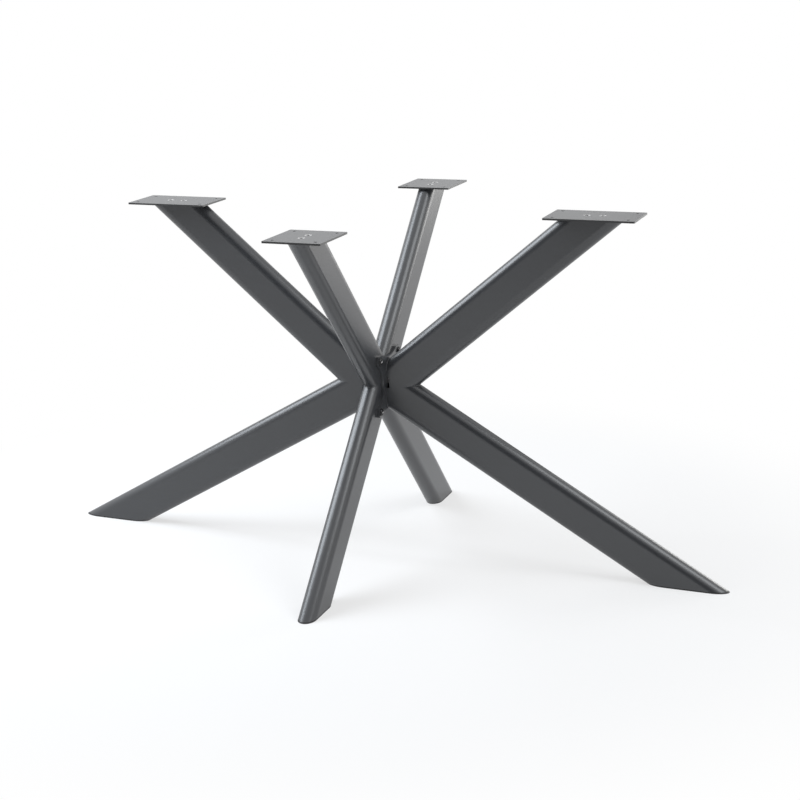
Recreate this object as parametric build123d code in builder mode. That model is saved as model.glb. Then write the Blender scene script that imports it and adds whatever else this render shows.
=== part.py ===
from build123d import *
from math import cos, radians, sin
import os

# Steel base for a dining table, in millimetres.
# Four hollow bars cross in an X that stands front to rear over the origin.
# A fork of two bars is bolted to each broad face of that X, one left and one right.
# +Z is up, +X runs to the right along the table, and the floor is at Z = 0.

# Bars
table_underside = 720.0
bar_width = 80.0
bar_thickness = 36.0
bar_wall = 2.0

# Crossed frame
cross_height = 367.0
cross_angle = 46.1

# Forked frames, whose centre lines meet a little lower than those of the crossed frame
fork_drop = 9.0
fork_offset = 20.0
fork_rise_angle = 40.3
fork_fall_angle = 30.1

# Plates under the table top
plate_thickness = 3.5
side_plate_length = 174.0
side_plate_width = 106.0
end_plate_length = 125.0
end_plate_width = 114.0
plate_corner_radius = 2.0
screw_hole_diameter = 6.0
screw_margin = 15.0
vent_hole_diameter = 7.0
vent_hole_spacing = 30.0
vent_rim_diameter = 13.0
vent_rim_angle = 90.0

# Flange plates at the hub
flange_thickness = 6.0
flange_side_margin = 7.5
flange_end_margin = 10.5
flange_waist_width = 64.0
flange_waist_height = 104.0
flange_corner_radius = 3.0
ear_edge_length = 18.0
bolt_reach = 72.5
bolt_hole_clearance = 0.5

# Drain notch where a fork meets its flange plate
notch_depth = 6.0
notch_height = 20.0

# Button-head bolts
bolt_diameter = 8.0
bolt_length = 16.0
bolt_head_diameter = 15.0
bolt_head_height = 4.4
bolt_head_rim = 1.2
bolt_crown_diameter = 9.0
socket_width = 5.0
socket_depth = 2.6

# Hexagonal threaded inserts in the broad faces of the crossed frame
insert_width = 11.0
insert_length = 14.0
insert_hole_clearance = 0.05
insert_collar_diameter = 15.0
insert_collar_length = 3.0
thread_clearance = 0.05

# Foot caps
sole_thickness = 2.5
plug_height = 18.0
plug_wall = 2.5
plug_clearance = 0.3

# Levels and faces that follow from these
plate_underside = table_underside - plate_thickness
broad_face = bar_thickness / 2
fork_seat = broad_face + flange_thickness
fork_height = cross_height - fork_drop
cross_node = Vector(0, 0, cross_height)
upper_trim = Plane(origin=(0, 0, plate_underside), z_dir=(0, 0, -1))
lower_trim = Plane(origin=(0, 0, sole_thickness), z_dir=(0, 0, 1))

ends = {"front": Vector(0, -1, 0), "rear": Vector(0, 1, 0)}
sides = {"left": Vector(-1, 0, 0), "right": Vector(1, 0, 0)}
cross_angles = {"upper": cross_angle, "lower": -cross_angle}
fork_angles = {"upper": fork_rise_angle, "lower": -fork_fall_angle}


def heading(outward, angle):
    """Unit vector away from the hub, climbing at the angle or falling if it is negative."""
    return outward * cos(radians(angle)) + Vector(0, 0, sin(radians(angle)))


def point_at_height(node, direction, height):
    """Where the centre line through the node passes a height."""
    return node + direction * ((height - node.Z) / direction.Z)


def fork_node(outward):
    """Where the two centre lines of a fork meet."""
    return outward * fork_offset + Vector(0, 0, fork_height)


def mitre(node, kept, other):
    """Plane that halves the angle between two bars and faces the kept one."""
    return Plane(origin=node, z_dir=kept - other)


def square_plane(node, direction, outward):
    """Plane square to a bar, with its own X across the bar's wide side."""
    across = direction.cross(outward).cross(direction)
    return Plane(origin=node, x_dir=across, z_dir=direction)


def level_plane(node, direction, outward, height):
    """Level plane at a height, centred on the bar, with its own X pointing outwards."""
    return Plane(origin=point_at_height(node, direction, height), x_dir=outward, z_dir=(0, 0, 1))


def level_section(angle, inset=0.0, mode=Mode.ADD):
    """Outline of a sloping bar cut level, where its round sides become half ellipses."""
    stretch = 1 / sin(radians(abs(angle)))
    half_flat = (bar_width - bar_thickness) / 2 * stretch
    radius = bar_thickness / 2 - inset
    Rectangle(2 * half_flat, 2 * radius, mode=mode)
    with Locations((-half_flat, 0), (half_flat, 0)):
        Ellipse(radius * stretch, radius, mode=mode)


def bolt_plane(direction, outward):
    """Plane on the broad face, facing outwards, at a bolt on the centre line of a crossed bar."""
    on_line = cross_node + direction * bolt_reach
    return Plane(origin=on_line + outward * broad_face, x_dir=(0, 1, 0), z_dir=outward)


def hollow_radius(chord, depth):
    """Radius of an arc from its chord and its depth."""
    return (chord**2 / 4 + depth**2) / (2 * depth)


def save(piece, label):
    piece.part.label = label
    export_step(piece.part, f"parts/{label}.step")


def insert_hole(direction):
    """Hexagonal hole through both broad faces of a crossed bar, on its centre line."""
    with BuildPart() as hole:
        with BuildSketch(bolt_plane(direction, sides["right"])):
            RegularPolygon(insert_width / 2 + insert_hole_clearance, 6, major_radius=False)
        extrude(amount=-bar_thickness)
    return hole


def drain_notch(outward):
    """Upright notch beside the flange plate, through both broad faces of a fork."""
    with BuildPart() as notch:
        with BuildSketch(Plane.XZ):
            with Locations((outward.X * (fork_seat + notch_depth / 2), cross_height)):
                Rectangle(notch_depth, notch_height)
        extrude(amount=bar_thickness, both=True)
    return notch


def hollow_bar(node, direction, outward, trims, opening):
    """Flat-sided oval tube through the node, cut by the trims and by its opening."""
    overlong = table_underside / abs(direction.Z)
    with BuildPart() as bar:
        with BuildSketch(square_plane(node, direction, outward)):
            SlotOverall(bar_width, bar_thickness)
            SlotOverall(bar_width - 2 * bar_wall, bar_thickness - 2 * bar_wall, mode=Mode.SUBTRACT)
        extrude(amount=overlong, both=True)
        for trim in trims + [upper_trim, lower_trim]:
            split(bisect_by=trim, keep=Keep.TOP)
        add(opening.part, mode=Mode.SUBTRACT)
    return bar


def crossed_bar(outward, level):
    """Bar of the crossed frame, mitred to the bar below or above it and to the one opposite."""
    direction = heading(outward, cross_angles[level])
    beside = heading(outward, -cross_angles[level])
    trims = [mitre(cross_node, direction, beside), Plane(origin=cross_node, z_dir=outward)]
    return hollow_bar(cross_node, direction, outward, trims, insert_hole(direction))


def fork_bar(outward, level):
    """Bar of a fork, mitred to the other bar and cut upright at the flange plate."""
    node = fork_node(outward)
    other_level = "lower" if level == "upper" else "upper"
    direction = heading(outward, fork_angles[level])
    beside = heading(outward, fork_angles[other_level])
    trims = [mitre(node, direction, beside), Plane(origin=outward * fork_seat, z_dir=outward)]
    return hollow_bar(node, direction, outward, trims, drain_notch(outward))


def top_plate(node, direction, outward, length, width):
    """Plate under the table top, with four screw holes and two countersunk vents into the bar."""
    top = level_plane(node, direction, outward, plate_underside).offset(plate_thickness)
    with BuildPart(top) as plate:
        with BuildSketch(top) as outline:
            Rectangle(length, width)
            fillet(outline.vertices(), radius=plate_corner_radius)
            with GridLocations(length - 2 * screw_margin, width - 2 * screw_margin, 2, 2):
                Circle(screw_hole_diameter / 2, mode=Mode.SUBTRACT)
        extrude(amount=-plate_thickness)
        with GridLocations(vent_hole_spacing, 0, 2, 1):
            CounterSinkHole(vent_hole_diameter / 2, vent_rim_diameter / 2, counter_sink_angle=vent_rim_angle)
    return plate


def foot_cap(node, direction, outward, angle):
    """Sole flush with the bar's outline, under a hollow plug that fits inside the bar."""
    plug_inset = bar_wall + plug_clearance
    slope = abs(direction.Z)
    with BuildPart() as cap:
        with BuildSketch(level_plane(node, direction, outward, 0)):
            level_section(angle)
        extrude(amount=sole_thickness / slope, dir=-direction)
        with BuildSketch(level_plane(node, direction, outward, sole_thickness)):
            level_section(angle, inset=plug_inset)
            level_section(angle, inset=plug_inset + plug_wall, mode=Mode.SUBTRACT)
        extrude(amount=plug_height / slope, dir=-direction)
    return cap


def flange_plate(outward):
    """Plate with four ears along the crossed bars, hollowed between them on all four sides."""
    bolt = heading(ends["rear"], cross_angle) * bolt_reach
    width = 2 * (bolt.Y + flange_side_margin)
    height = 2 * (bolt.Z + flange_end_margin)
    side_radius = hollow_radius(height - 2 * ear_edge_length, (width - flange_waist_width) / 2)
    end_radius = hollow_radius(width - 2 * ear_edge_length, (height - flange_waist_height) / 2)
    side_centre = flange_waist_width / 2 + side_radius
    end_centre = flange_waist_height / 2 + end_radius
    seat = Plane(origin=outward * broad_face + cross_node, x_dir=(0, 1, 0), z_dir=outward)
    with BuildPart() as plate:
        with BuildSketch(seat) as outline:
            Rectangle(width, height)
            with Locations((-side_centre, 0), (side_centre, 0)):
                Circle(side_radius, mode=Mode.SUBTRACT)
            with Locations((0, -end_centre), (0, end_centre)):
                Circle(end_radius, mode=Mode.SUBTRACT)
            fillet(outline.vertices(), radius=flange_corner_radius)
            with GridLocations(2 * bolt.Y, 2 * bolt.Z, 2, 2):
                Circle(bolt_diameter / 2 + bolt_hole_clearance, mode=Mode.SUBTRACT)
        extrude(amount=flange_thickness)
    return plate


def hub_bolt(direction, outward):
    """Button-head bolt seated on the outer face of the flange plate."""
    seat = bolt_plane(direction, outward).offset(flange_thickness)
    with BuildPart() as bolt:
        with BuildSketch(seat):
            Circle(bolt_diameter / 2)
        extrude(amount=-bolt_length)
        with BuildSketch(seat):
            Circle(bolt_head_diameter / 2)
        extrude(amount=bolt_head_height)
        crown = bolt.faces().sort_by(Axis(seat.origin, seat.z_dir))[-1]
        slope_depth = bolt_head_height - bolt_head_rim
        slope_width = (bolt_head_diameter - bolt_crown_diameter) / 2
        chamfer(crown.edges(), length=slope_width, length2=slope_depth, reference=crown)
        with BuildSketch(seat.offset(bolt_head_height)):
            RegularPolygon(socket_width / 2, 6, major_radius=False)
        extrude(amount=-socket_depth, mode=Mode.SUBTRACT)
    return bolt


def threaded_insert(direction, outward):
    """Six-sided sleeve flush with the broad face, with a collar that clamps it behind the wall."""
    mouth = bolt_plane(direction, outward)
    with BuildPart() as insert:
        with BuildSketch(mouth):
            RegularPolygon(insert_width / 2, 6, major_radius=False)
        extrude(amount=-insert_length)
        with BuildSketch(mouth.offset(-bar_wall)):
            Circle(insert_collar_diameter / 2)
        extrude(amount=-insert_collar_length)
        with BuildSketch(mouth):
            Circle(bolt_diameter / 2 + thread_clearance)
        extrude(amount=-insert_length, mode=Mode.SUBTRACT)
    return insert


os.makedirs("parts", exist_ok=True)

for end, outward in ends.items():
    for level in cross_angles:
        save(crossed_bar(outward, level), f"cross_bar_{end}_{level}")
    rise = heading(outward, cross_angle)
    fall = heading(outward, -cross_angle)
    save(top_plate(cross_node, rise, outward, end_plate_length, end_plate_width), f"top_plate_{end}")
    save(foot_cap(cross_node, fall, outward, cross_angle), f"foot_cap_{end}")

for side, outward in sides.items():
    for level in fork_angles:
        save(fork_bar(outward, level), f"fork_bar_{side}_{level}")
    node = fork_node(outward)
    rise = heading(outward, fork_rise_angle)
    fall = heading(outward, -fork_fall_angle)
    save(top_plate(node, rise, outward, side_plate_length, side_plate_width), f"top_plate_{side}")
    save(foot_cap(node, fall, outward, fork_fall_angle), f"foot_cap_{side}")
    save(flange_plate(outward), f"flange_plate_{side}")

for side, outward in sides.items():
    for end, along in ends.items():
        for level, angle in cross_angles.items():
            direction = heading(along, angle)
            save(hub_bolt(direction, outward), f"bolt_{side}_{end}_{level}")
            save(threaded_insert(direction, outward), f"insert_{side}_{end}_{level}")
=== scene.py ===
from math import cos, pi, radians, sin, tan

import bpy
from bpy.props import FloatProperty, FloatVectorProperty, IntProperty, PointerProperty
from mathutils import Matrix, Vector


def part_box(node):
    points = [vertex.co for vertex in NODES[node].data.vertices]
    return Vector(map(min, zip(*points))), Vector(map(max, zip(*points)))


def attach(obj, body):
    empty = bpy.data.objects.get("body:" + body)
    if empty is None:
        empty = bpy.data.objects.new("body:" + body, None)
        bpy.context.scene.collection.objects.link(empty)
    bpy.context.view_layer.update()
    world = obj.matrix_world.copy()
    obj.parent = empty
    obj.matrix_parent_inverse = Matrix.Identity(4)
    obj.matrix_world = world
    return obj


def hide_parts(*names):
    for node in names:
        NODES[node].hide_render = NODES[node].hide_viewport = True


bl_info = {
    "name": "Crossed table frame",
    "version": (1, 0, 0),
    "blender": (4, 5, 0),
    "location": "View3D > Sidebar > Table Frame",
    "description": "Gives the steel base of a dining table its coat, welds, bolts and caps",
    "category": "Object",
}

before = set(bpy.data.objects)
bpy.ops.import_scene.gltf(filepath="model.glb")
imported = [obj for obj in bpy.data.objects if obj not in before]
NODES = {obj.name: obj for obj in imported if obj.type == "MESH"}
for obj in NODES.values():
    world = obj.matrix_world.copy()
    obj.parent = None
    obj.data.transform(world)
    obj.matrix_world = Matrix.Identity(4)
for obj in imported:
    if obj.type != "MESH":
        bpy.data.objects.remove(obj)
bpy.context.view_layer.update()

ENDS = {"front": Vector((0, -1, 0)), "rear": Vector((0, 1, 0))}
SIDES = {"left": Vector((-1, 0, 0)), "right": Vector((1, 0, 0))}
UP = Vector((0, 0, 1))

# Angles of the bars to the floor, in degrees
CROSS_ANGLE = 46.1
FORK_RISE = 40.3
FORK_FALL = 30.1

# Heights and faces read from the frame, in metres
HUB_HEIGHT = (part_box("flange_plate_right")[0].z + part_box("flange_plate_right")[1].z) / 2
BROAD_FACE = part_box("flange_plate_right")[0].x
FORK_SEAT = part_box("flange_plate_right")[1].x
PLATE_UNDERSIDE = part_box("top_plate_right")[0].z
CROSS_NODE = Vector((0, 0, HUB_HEIGHT))
ROUND_RADIUS = BROAD_FACE

# Half of a bar's flat width, and how far out the centre lines of a fork meet, in metres
FLAT_HALF_WIDTH = 0.022
FORK_OFFSET = 0.020

# Edges of the made pieces that turn by more degrees than this stay sharp
SHARP_ANGLE = 50

# Weld beads: lengths in metres, and shares of a bead's radius
RINGS_PER_RIPPLE = 4
RUN_OUT = 0.006
SEAM_RUN_OUT = 0.012
TIP_SHARE = 0.12
PLATE_WELD_SINK = 0.4
ARCH_STEPS = 24
SEAM_STEPS = 32
UPRIGHT_LIMIT = 0.2


def heading(outward, angle):
    """Unit vector away from the hub, climbing at the angle or falling if it is negative."""
    return outward * cos(radians(angle)) + UP * sin(radians(angle))


def fork_node(side):
    """Where the two centre lines of a fork meet, from the place of its top plate."""
    outward = SIDES[side]
    plate_low, plate_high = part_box(f"top_plate_{side}")
    plate_reach = abs(plate_low.x + plate_high.x) / 2
    rise = tan(radians(FORK_RISE))
    return outward * FORK_OFFSET + UP * (PLATE_UNDERSIDE - (plate_reach - FORK_OFFSET) * rise)


def level_outline(centre, outward, angle, steps):
    """Closed outline of a sloping bar cut level: flat sides and half ellipses at the ends."""
    across = outward.cross(UP)
    stretch = 1 / sin(radians(abs(angle)))
    points = []
    for end in (1, -1):
        for step in range(steps + 1):
            turn = end * pi / 2 * (1 - 2 * step / steps)
            along = end * (FLAT_HALF_WIDTH + ROUND_RADIUS * cos(turn)) * stretch
            points.append(centre + outward * along + across * ROUND_RADIUS * sin(turn))
    return points


def mitre_curve(node, kept, other, spread, steps):
    """Curve on the round side of a bar where it meets the bar that it is mitred to."""
    thick = kept.cross(other).normalized()
    wide = (other - kept * kept.dot(other)).normalized()
    points = []
    for step in range(steps + 1):
        turn = spread * (2 * step / steps - 1)
        reach = FLAT_HALF_WIDTH + ROUND_RADIUS * cos(turn)
        along = reach * wide.dot(other) / (1 - kept.dot(other))
        points.append(node + kept * along + wide * reach + thick * ROUND_RADIUS * sin(turn))
    return points


def resampled(points, spacing, closed):
    """The same path with evenly spaced points."""
    corners = points + points[:1] if closed else points
    lengths = [(b - a).length for a, b in zip(corners, corners[1:])]
    count = max(4, round(sum(lengths) / spacing))
    wanted = [sum(lengths) * i / count for i in range(count if closed else count + 1)]
    even = []
    walked = 0.0
    index = 0
    for distance in wanted:
        while index < len(lengths) - 1 and walked + lengths[index] < distance:
            walked += lengths[index]
            index += 1
        share = (distance - walked) / max(lengths[index], 1e-9)
        even.append(corners[index].lerp(corners[index + 1], min(share, 1.0)))
    return even


def mesh_object(name, vertices, faces, materials, smooth=True):
    """Mesh object shaded with the given materials."""
    mesh = bpy.data.meshes.new(name)
    mesh.from_pydata([tuple(v) for v in vertices], [], faces)
    mesh.validate()
    for material in materials:
        mesh.materials.append(material)
    mesh.polygons.foreach_set("use_smooth", [smooth] * len(mesh.polygons))
    if smooth:
        mesh.set_sharp_from_angle(angle=radians(SHARP_ANGLE))
    mesh.update()
    piece = bpy.data.objects.new(name, mesh)
    bpy.context.scene.collection.objects.link(piece)
    return piece


def bead_rings(path, closed, radius, detail, run_out=RUN_OUT):
    """Vertices and faces of a rippled bead that follows a path and thins out at open ends."""
    sides = detail.bead_sides
    spacing = detail.ripple_pitch / RINGS_PER_RIPPLE
    points = resampled(path, spacing, closed)
    count = len(points)
    vertices = []
    for i, point in enumerate(points):
        before = points[i - 1] if closed or i > 0 else points[0]
        after = points[(i + 1) % count] if closed or i < count - 1 else points[-1]
        tangent = (after - before).normalized()
        side = tangent.cross(UP)
        if side.length < UPRIGHT_LIMIT:
            side = tangent.cross(Vector((1, 0, 0)))
        side.normalize()
        normal = tangent.cross(side)
        phase = (i * spacing / detail.ripple_pitch) % 1.0
        from_end = min(i, count - 1 - i) * spacing
        taper = 1.0 if closed else min(1.0, TIP_SHARE + from_end / run_out)
        size = radius * taper * (1 + detail.ripple_depth * (abs(2 * phase - 1) - 0.5))
        for j in range(sides):
            turn = 2 * pi * j / sides
            vertices.append(point + (side * cos(turn) + normal * sin(turn)) * size)
    faces = []
    for i in range(count if closed else count - 1):
        here = i * sides
        there = ((i + 1) % count) * sides
        for j in range(sides):
            k = (j + 1) % sides
            faces.append((here + j, here + k, there + k, there + j))
    if not closed:
        faces.append(tuple(reversed(range(sides))))
        faces.append(tuple(range((count - 1) * sides, count * sides)))
    return vertices, faces


def joined(parts):
    """One list of vertices and one of faces from several."""
    vertices = []
    faces = []
    for more_vertices, more_faces in parts:
        start = len(vertices)
        vertices += more_vertices
        faces += [tuple(start + i for i in face) for face in more_faces]
    return vertices, faces


# Shader groups and materials

TONE_CHANGE = 0.12

# How upright a plate's face is, as its normal's height, where the painted shade on its cut edges
# and hole walls ends
SHADE_FROM = 0.3
SHADE_TO = 0.65

# Softened edges: metres, degrees and the weight of large faces in the shading
MERGE_DISTANCE = 1e-6
SOFT_ANGLE = 38
SOFT_SEGMENTS = 2
FACE_WEIGHT = 80


def group_socket(group, name, direction, default=None):
    """Number that goes into or comes out of a group."""
    socket = group.interface.new_socket(name=name, in_out=direction,
                                        socket_type="NodeSocketFloat")
    if default is not None:
        socket.default_value = default


def shader_node(tree, kind, place, **values):
    """Node at a place, with its inputs set by name, where spaces are written as underscores."""
    node = tree.nodes.new(kind)
    node.location = place
    for name, value in values.items():
        node.inputs[name.replace("_", " ")].default_value = value
    return node


def math_node(tree, operation, place, first=None, second=None):
    """Output of a math node that takes numbers or other nodes' outputs."""
    node = tree.nodes.new("ShaderNodeMath")
    node.operation = operation
    node.location = place
    for index, value in enumerate((first, second)):
        if isinstance(value, bpy.types.NodeSocket):
            tree.links.new(value, node.inputs[index])
        elif value is not None:
            node.inputs[index].default_value = value
    return node.outputs[0]


def powder_texture():
    """Group with the soft pebbling and slow gloss changes of baked powder."""
    name = "Powder texture"
    if name in bpy.data.node_groups:
        return bpy.data.node_groups[name]
    group = bpy.data.node_groups.new(name, "ShaderNodeTree")
    group_socket(group, "Pebble size", "INPUT", default=0.0014)
    group_socket(group, "Waviness", "INPUT", default=0.3)
    group_socket(group, "Gloss change", "INPUT", default=0.04)
    group_socket(group, "Tone change", "INPUT", default=0.05)
    group_socket(group, "Height", "OUTPUT")
    group_socket(group, "Roughness change", "OUTPUT")
    group_socket(group, "Tone", "OUTPUT")
    inputs = group.nodes.new("NodeGroupInput")
    inputs.location = (-900, 0)
    outputs = group.nodes.new("NodeGroupOutput")
    outputs.location = (700, 0)
    place = shader_node(group, "ShaderNodeTexCoord", (-900, -250))
    frequency = math_node(group, "DIVIDE", (-700, 150), 1.0, inputs.outputs["Pebble size"])
    pebble = shader_node(group, "ShaderNodeTexNoise", (-450, 200), Detail=1.0, Roughness=0.45)
    slow = shader_node(group, "ShaderNodeTexNoise", (-450, -50), Scale=60.0, Detail=2.0)
    cloud = shader_node(group, "ShaderNodeTexNoise", (-450, -300), Scale=9.0, Detail=3.0)
    group.links.new(frequency, pebble.inputs["Scale"])
    for noise in (pebble, slow, cloud):
        group.links.new(place.outputs["Object"], noise.inputs["Vector"])
    wave = math_node(group, "MULTIPLY", (-200, 0), slow.outputs["Fac"], inputs.outputs["Waviness"])
    height = math_node(group, "ADD", (0, 150), pebble.outputs["Fac"], wave)
    centred = math_node(group, "SUBTRACT", (-200, -250), cloud.outputs["Fac"], 0.5)
    gloss = math_node(group, "MULTIPLY", (0, -100), centred, inputs.outputs["Gloss change"])
    tone = math_node(group, "MULTIPLY", (0, -300), centred, inputs.outputs["Tone change"])
    tone = math_node(group, "ADD", (200, -300), tone, 1.0)
    group.links.new(height, outputs.inputs["Height"])
    group.links.new(gloss, outputs.inputs["Roughness change"])
    group.links.new(tone, outputs.inputs["Tone"])
    return group


def painted_edge_shade(tree, tone, left):
    """Painted shade: darkens the upright faces of a cut plate, its edges and hole walls, and
    leaves its level faces as they are.
    """
    face = shader_node(tree, "ShaderNodeNewGeometry", (-1200, 500))
    parts = shader_node(tree, "ShaderNodeSeparateXYZ", (-1000, 500))
    tree.links.new(face.outputs["Normal"], parts.inputs[0])
    level = math_node(tree, "ABSOLUTE", (-800, 500), parts.outputs["Z"])
    share = shader_node(tree, "ShaderNodeMapRange", (-600, 500),
                        From_Min=SHADE_FROM, From_Max=SHADE_TO, To_Min=left)
    tree.links.new(level, share.inputs["Value"])
    return math_node(tree, "MULTIPLY", (-500, 350), tone, share.outputs["Result"])


def coated_material(name, colour, roughness, pebble, bump, metallic, edge_shade):
    """Painted, plated or moulded surface with the fine texture of its finish."""
    material = bpy.data.materials.new(name)
    material.use_nodes = True
    material.diffuse_color = (*colour, 1)
    tree = material.node_tree
    shader = tree.nodes["Principled BSDF"]
    shader.inputs["Metallic"].default_value = metallic
    texture = tree.nodes.new("ShaderNodeGroup")
    texture.node_tree = powder_texture()
    texture.location = (-700, 0)
    texture.inputs["Pebble size"].default_value = pebble
    texture.inputs["Tone change"].default_value = TONE_CHANGE
    shade = shader_node(tree, "ShaderNodeVectorMath", (-400, 200))
    shade.operation = "SCALE"
    shade.inputs[0].default_value = colour
    shading = texture.outputs["Tone"]
    # Painted shade on the upright faces of the plates, their cut edges and hole walls
    if edge_shade < 1:
        shading = painted_edge_shade(tree, shading, edge_shade)
    tree.links.new(shading, shade.inputs["Scale"])
    tree.links.new(shade.outputs["Vector"], shader.inputs["Base Color"])
    rough = math_node(tree, "ADD", (-400, 0), texture.outputs["Roughness change"], roughness)
    tree.links.new(rough, shader.inputs["Roughness"])
    relief = shader_node(tree, "ShaderNodeBump", (-400, -250), Strength=1.0, Distance=bump)
    tree.links.new(texture.outputs["Height"], relief.inputs["Height"])
    tree.links.new(relief.outputs["Normal"], shader.inputs["Normal"])
    return material


def finish_material(key):
    """Material of one finish, made once from the panel's settings."""
    if key in bpy.data.materials:
        return bpy.data.materials[key]
    finish = bpy.context.scene.table_frame_finish
    colours = {
        "satin_anthracite": finish.coat_colour,
        "satin_anthracite_plate": finish.plate_colour,
        "blackened_bolt": finish.bolt_colour,
        "bright_socket": finish.socket_colour,
        "zinc_plated": finish.zinc_colour,
        "bright_eyelet": finish.eyelet_colour,
        "moulded_cap": finish.cap_colour,
    }
    # Roughness, width and height of the pebbling in metres, and metallic share
    rows = {
        "satin_anthracite": (finish.coat_roughness, 0.0014, 0.000012, 0.0),
        "satin_anthracite_plate": (finish.plate_roughness, 0.0012, 0.00002, 0.0),
        "blackened_bolt": (0.32, 0.0006, 0.00001, 0.3),
        "bright_socket": (0.55, 0.0006, 0.00001, 1.0),
        "zinc_plated": (0.35, 0.0005, 0.00001, 1.0),
        "bright_eyelet": (0.25, 0.0006, 0.000005, 1.0),
        "moulded_cap": (0.55, 0.0008, 0.00004, 0.0),
    }
    roughness, pebble, bump, metallic = rows[key]
    # Only the plates get the painted shade on their upright faces
    edge_shade = finish.edge_shade if key == "satin_anthracite_plate" else 1.0
    material = coated_material(key, tuple(colours[key]), roughness, pebble, bump, metallic,
                               edge_shade)
    if key.startswith("satin"):
        shader = material.node_tree.nodes["Principled BSDF"]
        shader.inputs["Specular IOR Level"].default_value = finish.coat_specular
    return material


def dress(node, key):
    """Gives a CAD node a finish through its own material slots."""
    cad = NODES[node]
    for slot in cad.material_slots:
        slot.material = finish_material(key)


def soften_edges(node, width):
    """Rounds a CAD node's sharp edges a little, as the coat does."""
    cad = NODES[node]
    weld = cad.modifiers.new("close_seams", "WELD")
    weld.merge_threshold = MERGE_DISTANCE
    bevel = cad.modifiers.new("soft_edges", "BEVEL")
    bevel.width = width
    bevel.segments = SOFT_SEGMENTS
    bevel.limit_method = "ANGLE"
    bevel.angle_limit = radians(SOFT_ANGLE)
    bevel.use_clamp_overlap = True
    even = cad.modifiers.new("even_shading", "WEIGHTED_NORMAL")
    even.keep_sharp = False
    even.weight = FACE_WEIGHT


# Settings

class TableFrameFinish(bpy.types.PropertyGroup):
    """Colours and gloss of the frame's finishes"""

    coat_colour: FloatVectorProperty(
        name="Coat", description="Powder coat on the bars and flange plates",
        subtype="COLOR", size=3, min=0, max=1, default=(0.044, 0.046, 0.050))
    coat_roughness: FloatProperty(
        name="Coat roughness", description="Gloss of the coat on the bars",
        subtype="FACTOR", min=0, max=1, default=0.31)
    coat_specular: FloatProperty(
        name="Coat specular",
        description="How strongly the coat mirrors, where 0.5 is plain lacquer",
        subtype="FACTOR", min=0, max=1, default=0.75)
    plate_colour: FloatVectorProperty(
        name="Plate coat", description="Powder coat on the plates under the table top",
        subtype="COLOR", size=3, min=0, max=1, default=(0.050, 0.051, 0.053))
    plate_roughness: FloatProperty(
        name="Plate roughness", description="Gloss of the coat on the plates",
        subtype="FACTOR", min=0, max=1, default=0.42)
    # Painted shade: the share of the plate coat's colour left on its cut edges and hole walls
    edge_shade: FloatProperty(
        name="Cut edges",
        description="Share of the plate coat's colour left on its cut edges and holes",
        subtype="FACTOR", min=0, max=1, default=0.4)
    bolt_colour: FloatVectorProperty(
        name="Bolts", description="Blackened steel of the button-head bolts",
        subtype="COLOR", size=3, min=0, max=1, default=(0.008, 0.008, 0.009))
    socket_colour: FloatVectorProperty(
        name="Sockets", description="Bright steel inside the bolts' hexagon sockets",
        subtype="COLOR", size=3, min=0, max=1, default=(0.85, 0.85, 0.85))
    zinc_colour: FloatVectorProperty(
        name="Inserts", description="Zinc plate on the threaded inserts",
        subtype="COLOR", size=3, min=0, max=1, default=(0.55, 0.56, 0.58))
    eyelet_colour: FloatVectorProperty(
        name="Vent eyelets", description="Plated steel of the eyelets in the vents",
        subtype="COLOR", size=3, min=0, max=1, default=(0.50, 0.50, 0.50))
    cap_colour: FloatVectorProperty(
        name="Foot caps", description="Moulded plastic of the foot caps",
        subtype="COLOR", size=3, min=0, max=1, default=(0.015, 0.015, 0.016))


class TableFrameDetail(bpy.types.PropertyGroup):
    """Sizes of the welds, edges and bolt heads"""

    edge_radius: FloatProperty(
        name="Edge radius", description="Rounding that the coat gives to sheared edges",
        unit="LENGTH", min=0, max=0.002, default=0.0007)
    weld_radius: FloatProperty(
        name="Plate weld", description="Radius of the beads under the top plates",
        unit="LENGTH", min=0, max=0.004, default=0.0014)
    hub_weld_radius: FloatProperty(
        name="Hub weld", description="Radius of the beads between forks and flange plates",
        unit="LENGTH", min=0, max=0.004, default=0.0009)
    seam_radius: FloatProperty(
        name="Mitre seam", description="Radius of the dressed beads in the crotches of the bars",
        unit="LENGTH", min=0, max=0.004, default=0.0012)
    seam_spread: FloatProperty(
        name="Seam spread", description="How far round the bars the crotch beads reach",
        subtype="ANGLE", unit="ROTATION", min=radians(10), max=radians(90), default=radians(62))
    ripple_pitch: FloatProperty(
        name="Ripple pitch", description="Distance between the ripples of a bead",
        unit="LENGTH", min=0.0005, max=0.01, default=0.0024)
    ripple_depth: FloatProperty(
        name="Ripple depth", description="How much of a bead's radius its ripples take",
        subtype="FACTOR", min=0, max=1, default=0.22)
    bead_sides: IntProperty(
        name="Bead sides", description="Sides of a bead's section", min=6, max=24, default=10)
    head_segments: IntProperty(
        name="Head segments", description="Segments round a bolt head", min=24, max=96, default=48)


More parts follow.
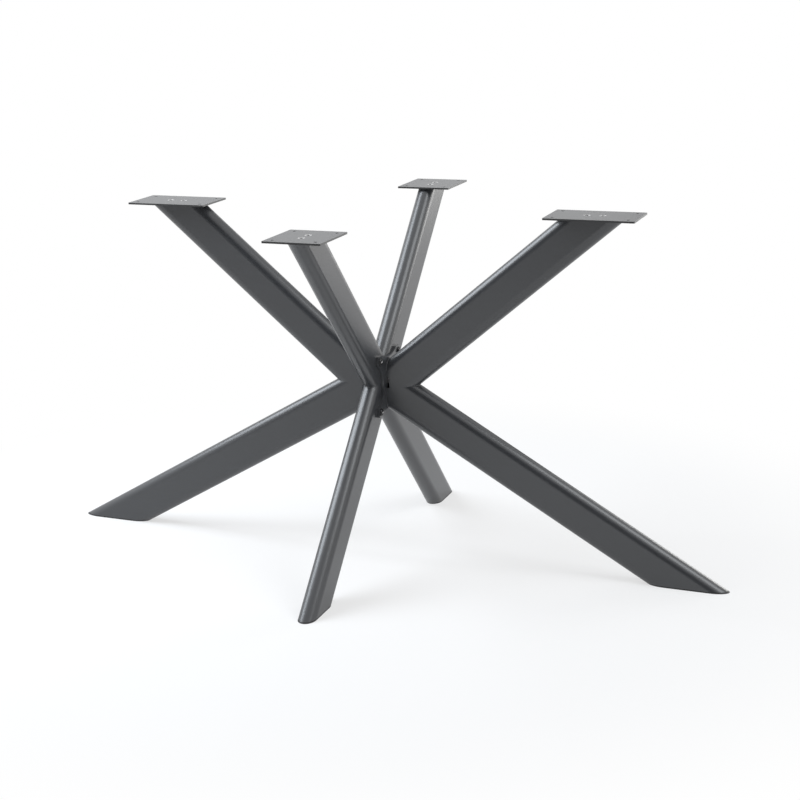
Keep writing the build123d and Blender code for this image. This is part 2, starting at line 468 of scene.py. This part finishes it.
class TableFrameStudio(bpy.types.PropertyGroup):
    """Light, floor and camera"""

    key_radiance: FloatProperty(
        name="Left light", description="Radiance of the tall soft light on the left",
        min=0, max=50, default=6.7)
    fill_radiance: FloatProperty(
        name="Right light", description="Radiance of the smaller soft light on the right",
        min=0, max=50, default=4.0)
    back_radiance: FloatProperty(
        name="Back light", description="Radiance of the low soft light behind and to the right",
        min=0, max=50, default=4.2)
    rear_radiance: FloatProperty(
        name="Rear light", description="Radiance of the low soft light behind and to the left",
        min=0, max=50, default=0.55)
    room_strength: FloatProperty(
        name="Room light", description="Strength of the light that comes from all round",
        min=0, max=2, default=0.30)
    floor_colour: FloatVectorProperty(
        name="Floor", description="Colour of the pale floor",
        subtype="COLOR", size=3, min=0, max=1, default=(0.95, 0.95, 0.95))
    floor_glow: FloatProperty(
        name="Floor glow",
        description="Share of plain white in the floor near the frame as the camera sees it",
        subtype="FACTOR", min=0, max=1, default=0.60)
    lens: FloatProperty(
        name="Lens", description="Focal length of the camera",
        unit="CAMERA", min=20, max=300, default=72.05)


# Pieces

class TABLEFRAME_OT_bars(bpy.types.Operator):
    """Coats the eight bars of the frame"""

    bl_idname = "table_frame.bars"
    bl_label = "Bars"

    def execute(self, context):
        for name in NODES:
            if "_bar_" in name:
                dress(name, "satin_anthracite")
        return {"FINISHED"}


class TABLEFRAME_OT_hub_plates(bpy.types.Operator):
    """Coats the two flange plates at the hub and softens their sheared edges"""

    bl_idname = "table_frame.hub_plates"
    bl_label = "Flange plates"

    def execute(self, context):
        detail = context.scene.table_frame_detail
        for side in SIDES:
            dress(f"flange_plate_{side}", "satin_anthracite")
            soften_edges(f"flange_plate_{side}", detail.edge_radius)
        return {"FINISHED"}


class TABLEFRAME_OT_top_plates(bpy.types.Operator):
    """Coats the four plates under the table top and softens their sheared edges"""

    bl_idname = "table_frame.top_plates"
    bl_label = "Top plates"

    def execute(self, context):
        detail = context.scene.table_frame_detail
        for place in (*ENDS, *SIDES):
            dress(f"top_plate_{place}", "satin_anthracite_plate")
            soften_edges(f"top_plate_{place}", detail.edge_radius)
        return {"FINISHED"}


class TABLEFRAME_OT_feet(bpy.types.Operator):
    """Gives the foot caps their moulded black plastic"""

    bl_idname = "table_frame.feet"
    bl_label = "Foot caps"

    def execute(self, context):
        for place in (*ENDS, *SIDES):
            dress(f"foot_cap_{place}", "moulded_cap")
        return {"FINISHED"}


class TABLEFRAME_OT_inserts(bpy.types.Operator):
    """Gives the threaded inserts their zinc plate"""

    bl_idname = "table_frame.inserts"
    bl_label = "Threaded inserts"

    def execute(self, context):
        for name in NODES:
            if name.startswith("insert_"):
                dress(name, "zinc_plated")
        return {"FINISHED"}


# Button-head bolt, in metres, and the turn from one bolt's socket to the next in degrees
SHANK_RADIUS = 0.004
SHANK_CHAMFER = 0.0008
HEAD_RADIUS = 0.0075
HEAD_HEIGHT = 0.0044
HEAD_RIM = 0.0009
HEAD_CHAMFER = 0.0003
CROWN_RADIUS = 0.0040
SOCKET_WIDTH = 0.005
SOCKET_DEPTH = 0.0026
SOCKET_CHAMFER = 0.0004
DRILL_RISE = 0.0004
BOLT_LENGTH = 0.016
DOME_STEPS = 8
SOCKET_RINGS = 4
SOCKET_TURN = 23


def ring_points(count, radius, height, corners, turn):
    """Ring of a lathe: a circle, or a hexagon whose half width is the radius."""
    points = []
    for i in range(count):
        angle = 2 * pi * i / count
        reach = radius
        if corners:
            sector = 2 * pi / corners
            reach = radius / cos((angle % sector) - sector / 2)
        points.append(Vector((reach * cos(angle + turn), reach * sin(angle + turn), height)))
    return points


def bolt_rings(count, turn):
    """Rings of a button-head bolt from the tip of its shank to the bottom of its socket."""
    rings = [
        (0.0, -BOLT_LENGTH, 0),
        (SHANK_RADIUS - SHANK_CHAMFER, -BOLT_LENGTH, 0),
        (SHANK_RADIUS, -BOLT_LENGTH + SHANK_CHAMFER, 0),
        (SHANK_RADIUS, 0.0, 0),
        (HEAD_RADIUS - HEAD_CHAMFER, 0.0, 0),
        (HEAD_RADIUS, HEAD_CHAMFER, 0),
        (HEAD_RADIUS, HEAD_RIM, 0),
    ]
    for step in range(1, DOME_STEPS + 1):
        share = step / DOME_STEPS
        radius = HEAD_RADIUS + (CROWN_RADIUS - HEAD_RADIUS) * share
        rise = (HEAD_HEIGHT - HEAD_RIM) * sin(share * pi / 2)
        rings.append((radius, HEAD_RIM + rise, 0))
    hexagon = SOCKET_WIDTH / 2
    floor_height = HEAD_HEIGHT - SOCKET_DEPTH
    rings += [
        (hexagon + SOCKET_CHAMFER, HEAD_HEIGHT, 6),
        (hexagon, HEAD_HEIGHT - HEAD_CHAMFER, 6),
        (hexagon, floor_height, 6),
        (hexagon / 2, floor_height - DRILL_RISE, 6),
        (0.0, floor_height - 2 * DRILL_RISE, 0),
    ]
    return [ring_points(count, r, h, corners, turn) for r, h, corners in rings]


def lathe_faces(ring_count, count):
    """Quads between neighbouring rings."""
    faces = []
    for i in range(ring_count - 1):
        for j in range(count):
            k = (j + 1) % count
            faces.append((i * count + j, i * count + k, (i + 1) * count + k, (i + 1) * count + j))
    return faces


class TABLEFRAME_OT_bolts(bpy.types.Operator):
    """Builds the domed heads and hexagon sockets of the eight bolts"""

    bl_idname = "table_frame.bolts"
    bl_label = "Hub bolts"

    def execute(self, context):
        count = context.scene.table_frame_detail.head_segments
        materials = [finish_material("blackened_bolt"), finish_material("bright_socket")]
        number = 0
        for side, outward in SIDES.items():
            for end in ENDS:
                for level in ("upper", "lower"):
                    self.build(f"bolt_{side}_{end}_{level}", outward, number, count, materials)
                    number += 1
        return {"FINISHED"}

    def build(self, node, outward, number, count, materials):
        low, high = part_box(node)
        centre = (low + high) / 2
        seat = Vector((outward.x * FORK_SEAT, centre.y, centre.z))
        turn = radians(SOCKET_TURN * number)
        rings = bolt_rings(count, turn)
        turned = outward.to_track_quat("Z", "Y").to_matrix()
        vertices = [seat + turned @ point for ring in rings for point in ring]
        faces = lathe_faces(len(rings), count)
        piece = mesh_object(f"{node}_detailed", vertices, faces, materials)
        socket_from = (len(rings) - SOCKET_RINGS) * count
        for polygon in piece.data.polygons:
            if min(polygon.vertices) >= socket_from:
                polygon.material_index = 1
        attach(piece, "root")
        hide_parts(node)


# Eyelets in the vents, in metres
VENT_SPACING = 0.030
EYELET_RIM = 0.00645
EYELET_BORE = 0.00345
EYELET_ROUNDING = 0.00015
EYELET_WALL = 0.0001
EYELET_DEPTH = 0.0033

# Section of an eyelet: radius, and height over the plate's top. Its bore is the inner side.
EYELET_SECTION = (
    (EYELET_RIM, -0.00005),
    (EYELET_BORE + EYELET_ROUNDING, -0.00035),
    (EYELET_BORE, -0.00050),
    (EYELET_BORE, -EYELET_DEPTH),
    (EYELET_BORE + EYELET_WALL, -EYELET_DEPTH),
    (EYELET_BORE + EYELET_WALL, -0.00060),
    (EYELET_RIM - EYELET_WALL, -0.00015),
)
# Rings between which the bore's faces take the black bolt material as painted shade inside the
# vent
EYELET_SHADED_BORE_FROM = 2
EYELET_SHADED_BORE_TO = 4


def eyelet(centre, count):
    """Pressed steel eyelet with a flat flange and a short bore."""
    rings = [ring_points(count, radius, height, 0, 0) for radius, height in EYELET_SECTION]
    vertices = [centre + point for ring in rings for point in ring]
    faces = [tuple(reversed(face)) for face in lathe_faces(len(rings), count)]
    last = (len(rings) - 1) * count
    for i in range(count):
        k = (i + 1) % count
        faces.append((i, k, last + k, last + i))
    return vertices, faces


class TABLEFRAME_OT_vent_eyelets(bpy.types.Operator):
    """Sets the bright eyelets into the countersinks of the vents, with painted shade in their
    bores
    """

    bl_idname = "table_frame.vent_eyelets"
    bl_label = "Vent eyelets"

    def execute(self, context):
        count = context.scene.table_frame_detail.head_segments
        materials = [finish_material("bright_eyelet"), finish_material("blackened_bolt")]
        for place, outward in (*ENDS.items(), *SIDES.items()):
            low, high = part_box(f"top_plate_{place}")
            top = Vector(((low.x + high.x) / 2, (low.y + high.y) / 2, high.z))
            pair = [eyelet(top + outward * VENT_SPACING / 2 * way, count) for way in (1, -1)]
            vertices, faces = joined(pair)
            piece = mesh_object(f"vent_eyelets_{place}", vertices, faces, materials)
            # The bore's faces get the black bolt material as painted shade
            for polygon in piece.data.polygons:
                ring = min(polygon.vertices) // count % len(EYELET_SECTION)
                if EYELET_SHADED_BORE_FROM <= ring < EYELET_SHADED_BORE_TO:
                    polygon.material_index = 1
            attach(piece, "root")
        return {"FINISHED"}


class TABLEFRAME_OT_plate_welds(bpy.types.Operator):
    """Lays the beads that join the upper bars to the plates under the table top"""

    bl_idname = "table_frame.plate_welds"
    bl_label = "Top plate welds"

    def execute(self, context):
        for end, outward in ENDS.items():
            self.build(end, outward, CROSS_NODE, CROSS_ANGLE)
        for side, outward in SIDES.items():
            self.build(side, outward, fork_node(side), FORK_RISE)
        return {"FINISHED"}

    def build(self, place, outward, node, angle):
        detail = bpy.context.scene.table_frame_detail
        direction = heading(outward, angle)
        height = PLATE_UNDERSIDE - detail.weld_radius * PLATE_WELD_SINK
        centre = node + direction * ((height - node.z) / direction.z)
        outline = level_outline(centre, outward, angle, ARCH_STEPS)
        vertices, faces = bead_rings(outline, True, detail.weld_radius, detail)
        piece = mesh_object(f"weld_top_plate_{place}", vertices, faces,
                            [finish_material("satin_anthracite")])
        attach(piece, "root")


def upright_arch(side, upper, steps):
    """Outline of one fork bar's round side where it stands against the flange plate."""
    outward = SIDES[side]
    node = fork_node(side)
    angle = FORK_RISE if upper else -FORK_FALL
    seat_reach = FORK_SEAT - FORK_OFFSET
    centre = node.z + seat_reach * tan(radians(angle))
    stretch = 1 / cos(radians(angle))
    sign = 1 if upper else -1
    points = []
    for step in range(steps + 1):
        turn = pi / 2 - pi * step / steps
        y = ROUND_RADIUS * sin(turn)
        z = centre + sign * (FLAT_HALF_WIDTH + ROUND_RADIUS * cos(turn)) * stretch
        points.append(Vector((outward.x * FORK_SEAT, y, z)))
    return points


class TABLEFRAME_OT_hub_welds(bpy.types.Operator):
    """Lays the beads over and under the forks where they join the flange plates"""

    bl_idname = "table_frame.hub_welds"
    bl_label = "Hub welds"

    def execute(self, context):
        detail = context.scene.table_frame_detail
        for side in SIDES:
            beads = []
            for upper in (True, False):
                path = upright_arch(side, upper, ARCH_STEPS)
                beads.append(bead_rings(path, False, detail.hub_weld_radius, detail))
            vertices, faces = joined(beads)
            piece = mesh_object(f"weld_flange_{side}", vertices, faces,
                                [finish_material("satin_anthracite")])
            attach(piece, "root")
        return {"FINISHED"}


class TABLEFRAME_OT_mitre_seams(bpy.types.Operator):
    """Lays the dressed beads in the four crotches where two bars are mitred"""

    bl_idname = "table_frame.mitre_seams"
    bl_label = "Mitre seams"

    def execute(self, context):
        for end, outward in ENDS.items():
            self.build(end, CROSS_NODE, heading(outward, CROSS_ANGLE),
                       heading(outward, -CROSS_ANGLE))
        for side, outward in SIDES.items():
            self.build(side, fork_node(side), heading(outward, FORK_RISE),
                       heading(outward, -FORK_FALL))
        return {"FINISHED"}

    def build(self, place, node, upper, lower):
        detail = bpy.context.scene.table_frame_detail
        path = mitre_curve(node, upper, lower, detail.seam_spread, SEAM_STEPS)
        vertices, faces = bead_rings(path, False, detail.seam_radius, detail, SEAM_RUN_OUT)
        piece = mesh_object(f"seam_{place}", vertices, faces,
                            [finish_material("satin_anthracite")])
        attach(piece, "root")


# Stage, in metres and degrees

CAMERA_PLACE = Vector((1.1813, -2.9153, 1.2154))
CAMERA_TURN = 23.72
CAMERA_DIP = 15.766
CAMERA_ROLL = -1.797
CAMERA_SHIFT = 0.0818
CAMERA_FAR = 100
SENSOR_WIDTH = 36.0
AIM = Vector((0, 0, 0.36))
FLOOR_HALF_SIZE = 30.0
FLOOR_LEVEL = -0.0003
FLOOR_FADE_FROM = 0.70
FLOOR_FADE_TO = 1.25
FLAG_BLACK = 0.01

# Flags: name, y, left and right edge, lower and upper edge
FLAGS = (
    ("front_flag", -5.5, -4.5, 4.5, 0.0, 5.5),
    ("rear_flag", 4.4, -0.2, 1.2, 0.5, 2.6),
)

# Lamps: name, setting of the radiance, azimuth, elevation, distance, width, height, colour
LAMPS = (
    ("left_light", "key_radiance", -78, 42, 2.2, 1.45, 1.75, (0.87, 0.93, 1.0)),
    ("right_light", "fill_radiance", 86, 47, 2.9, 1.4, 1.5, (0.94, 0.97, 1.0)),
    ("back_light", "back_radiance", 150, 9, 3.6, 1.9, 1.3, (1.0, 0.99, 0.97)),
    ("rear_light", "rear_radiance", -154, 16, 3.6, 3.0, 1.4, (0.97, 0.98, 1.0)),
)


def seen_ray(tree, place):
    """1 for rays that show the background: from the camera, a gloss or a glass."""
    path = shader_node(tree, "ShaderNodeLightPath", place)
    camera_or_glossy = math_node(tree, "MAXIMUM", (place[0] + 200, place[1]),
                                 path.outputs["Is Camera Ray"], path.outputs["Is Glossy Ray"])
    return math_node(tree, "MAXIMUM", (place[0] + 400, place[1]),
                     camera_or_glossy, path.outputs["Is Transmission Ray"])


def floor_material(colour, glow):
    """Pale floor that keeps the shadow near the frame and turns plain white far from it."""
    material = bpy.data.materials.new("pale_floor")
    material.use_nodes = True
    tree = material.node_tree
    shader = tree.nodes["Principled BSDF"]
    shader.inputs["Base Color"].default_value = (*colour, 1)
    shader.inputs["Roughness"].default_value = 1.0
    shader.inputs["Specular IOR Level"].default_value = 0.0
    output = tree.nodes["Material Output"]
    white = shader_node(tree, "ShaderNodeEmission", (0, -300), Strength=1.0)
    place = shader_node(tree, "ShaderNodeTexCoord", (-900, -700))
    reach = shader_node(tree, "ShaderNodeVectorMath", (-700, -700))
    reach.operation = "LENGTH"
    tree.links.new(place.outputs["Object"], reach.inputs[0])
    fade = shader_node(tree, "ShaderNodeMapRange", (-500, -700),
                       From_Min=FLOOR_FADE_FROM, From_Max=FLOOR_FADE_TO, To_Min=glow)
    fade.interpolation_type = "SMOOTHSTEP"
    tree.links.new(reach.outputs["Value"], fade.inputs["Value"])
    share = math_node(tree, "MULTIPLY", (-100, -600), fade.outputs["Result"],
                      seen_ray(tree, (-900, -400)))
    mix = tree.nodes.new("ShaderNodeMixShader")
    mix.location = (300, 0)
    tree.links.new(share, mix.inputs[0])
    tree.links.new(shader.outputs[0], mix.inputs[1])
    tree.links.new(white.outputs[0], mix.inputs[2])
    tree.links.new(mix.outputs[0], output.inputs["Surface"])
    return material


def flag_material():
    """Matt black cloth of the flags."""
    name = "black_flag"
    if name in bpy.data.materials:
        return bpy.data.materials[name]
    material = bpy.data.materials.new(name)
    material.use_nodes = True
    shader = material.node_tree.nodes["Principled BSDF"]
    shader.inputs["Base Color"].default_value = (FLAG_BLACK, FLAG_BLACK, FLAG_BLACK, 1)
    shader.inputs["Roughness"].default_value = 1.0
    shader.inputs["Specular IOR Level"].default_value = 0.0
    return material


def soft_light(name, azimuth, elevation, distance, width, height, radiance, colour):
    """Soft light that faces the frame. Azimuth 0 is in front and 90 is on the right."""
    data = bpy.data.lights.new(name, "AREA")
    data.shape = "RECTANGLE"
    data.size = width
    data.size_y = height
    data.energy = radiance * pi * width * height
    data.color = colour
    lamp = bpy.data.objects.new(name, data)
    a = radians(azimuth)
    e = radians(elevation)
    outward = Vector((sin(a) * cos(e), -cos(a) * cos(e), sin(e)))
    lamp.location = AIM + outward * distance
    lamp.rotation_euler = outward.to_track_quat("Z", "Y").to_euler()
    bpy.context.scene.collection.objects.link(lamp)


class TABLEFRAME_OT_stage(bpy.types.Operator):
    """Sets the pale floor, the soft lights, the white surroundings and the camera"""

    bl_idname = "table_frame.stage"
    bl_label = "Stage"

    def execute(self, context):
        studio = context.scene.table_frame_studio
        self.floor(studio)
        for flag in FLAGS:
            self.flag(*flag)
        self.surroundings(context.scene, studio)
        for name, setting, *place, colour in LAMPS:
            soft_light(name, *place, getattr(studio, setting), colour)
        self.camera(context.scene, studio)
        context.scene.view_settings.view_transform = "Standard"
        return {"FINISHED"}

    def floor(self, studio):
        half = FLOOR_HALF_SIZE
        corners = [(x * half, y * half, FLOOR_LEVEL)
                   for x, y in ((-1, -1), (1, -1), (1, 1), (-1, 1))]
        piece = mesh_object("floor", corners, [(0, 1, 2, 3)],
                            [floor_material(tuple(studio.floor_colour), studio.floor_glow)],
                            smooth=False)

    def flag(self, name, y, left, right, low, high):
        """Upright black flag, seen only in the gloss of the coat."""
        corners = [(left, y, low), (right, y, low), (right, y, high), (left, y, high)]
        piece = mesh_object(name, corners, [(0, 1, 2, 3)], [flag_material()], smooth=False)
        piece.visible_camera = False
        piece.visible_diffuse = False
        piece.visible_shadow = False
        piece.visible_transmission = False

    def surroundings(self, scene, studio):
        world = bpy.data.worlds.new("white_room")
        world.use_nodes = True
        tree = world.node_tree
        sky = tree.nodes["Background"]
        sky.inputs["Color"].default_value = (1, 1, 1, 1)
        seen = seen_ray(tree, (-1000, 0))
        more = math_node(tree, "MULTIPLY", (-400, 0), seen, 1 - studio.room_strength)
        strength = math_node(tree, "ADD", (-200, 0), more, studio.room_strength)
        tree.links.new(strength, sky.inputs["Strength"])
        scene.world = world

    def camera(self, scene, studio):
        data = bpy.data.cameras.new("camera")
        data.sensor_width = SENSOR_WIDTH
        data.lens = studio.lens
        data.shift_x = CAMERA_SHIFT
        data.clip_end = CAMERA_FAR
        turn = (Matrix.Rotation(radians(CAMERA_TURN), 4, "Z")
                @ Matrix.Rotation(radians(90 - CAMERA_DIP), 4, "X")
                @ Matrix.Rotation(radians(CAMERA_ROLL), 4, "Z"))
        camera = bpy.data.objects.new("camera", data)
        camera.matrix_world = Matrix.Translation(CAMERA_PLACE) @ turn
        scene.collection.objects.link(camera)
        scene.camera = camera


PIECES = (
    TABLEFRAME_OT_bars,
    TABLEFRAME_OT_hub_plates,
    TABLEFRAME_OT_top_plates,
    TABLEFRAME_OT_vent_eyelets,
    TABLEFRAME_OT_feet,
    TABLEFRAME_OT_inserts,
    TABLEFRAME_OT_bolts,
    TABLEFRAME_OT_plate_welds,
    TABLEFRAME_OT_hub_welds,
    TABLEFRAME_OT_mitre_seams,
    TABLEFRAME_OT_stage,
)
SETTINGS = {
    "table_frame_finish": TableFrameFinish,
    "table_frame_detail": TableFrameDetail,
    "table_frame_studio": TableFrameStudio,
}


class VIEW3D_PT_table_frame(bpy.types.Panel):
    """Settings and pieces of the table frame"""

    bl_label = "Table Frame"
    bl_space_type = "VIEW_3D"
    bl_region_type = "UI"
    bl_category = "Table Frame"

    def draw(self, context):
        for group in SETTINGS:
            box = self.layout.box()
            settings = getattr(context.scene, group)
            for name in settings.__annotations__:
                box.prop(settings, name)
        for piece in PIECES:
            self.layout.operator(piece.bl_idname)


def register():
    for group in SETTINGS.values():
        bpy.utils.register_class(group)
    for name, group in SETTINGS.items():
        setattr(bpy.types.Scene, name, PointerProperty(type=group))
    for piece in PIECES:
        bpy.utils.register_class(piece)
    bpy.utils.register_class(VIEW3D_PT_table_frame)


def unregister():
    bpy.utils.unregister_class(VIEW3D_PT_table_frame)
    for piece in reversed(PIECES):
        bpy.utils.unregister_class(piece)
    for name, group in SETTINGS.items():
        delattr(bpy.types.Scene, name)
        bpy.utils.unregister_class(group)


def main():
    register()
    bpy.ops.table_frame.bars()
    bpy.ops.table_frame.hub_plates()
    bpy.ops.table_frame.top_plates()
    bpy.ops.table_frame.vent_eyelets()
    bpy.ops.table_frame.feet()
    bpy.ops.table_frame.inserts()
    bpy.ops.table_frame.bolts()
    bpy.ops.table_frame.plate_welds()
    bpy.ops.table_frame.hub_welds()
    bpy.ops.table_frame.mitre_seams()
    bpy.ops.table_frame.stage()


if __name__ == "__main__":
    main()
